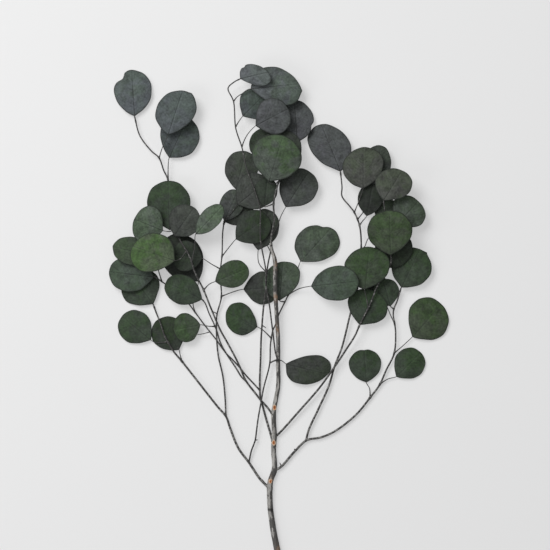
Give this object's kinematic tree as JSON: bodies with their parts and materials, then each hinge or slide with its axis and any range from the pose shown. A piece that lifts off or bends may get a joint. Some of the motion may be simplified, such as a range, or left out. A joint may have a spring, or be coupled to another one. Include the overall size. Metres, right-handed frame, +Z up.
{
  "type": "eucalyptus branch",
  "caption": "Cut and preserved eucalyptus branch with a grey woody stem, thin forking twigs and round flat leaves, lying flat on a surface.",
  "frame": {"origin": "middle of the branch's box in plan, on the surface that it lies on", "axes": "+Y along the branch from its cut end to its top leaves, +X to the right seen from above, +Z up"},
  "size_m": [0.4443, 0.6464, 0.0341],
  "materials": {
    "bark": "dry grey bark with darker streaks and brown patches",
    "leaf": "matte preserved leaf, grey-green with a dull waxy bloom"
  },
  "bodies": {
    "root": {"main_stem": "bark", "left_outer_twig": "leaf", "left_climbing_twig": "leaf", "crossing_twig": "leaf", "straight_twig": "leaf", "left_low_twig": "leaf", "left_tall_twig": "leaf", "left_short_twig": "leaf", "centre_twig": "leaf", "leader_twig": "leaf", "right_outer_twig": "leaf", "right_inner_twig": "leaf", "right_upper_twig": "leaf"}
  },
  "joints": []
}
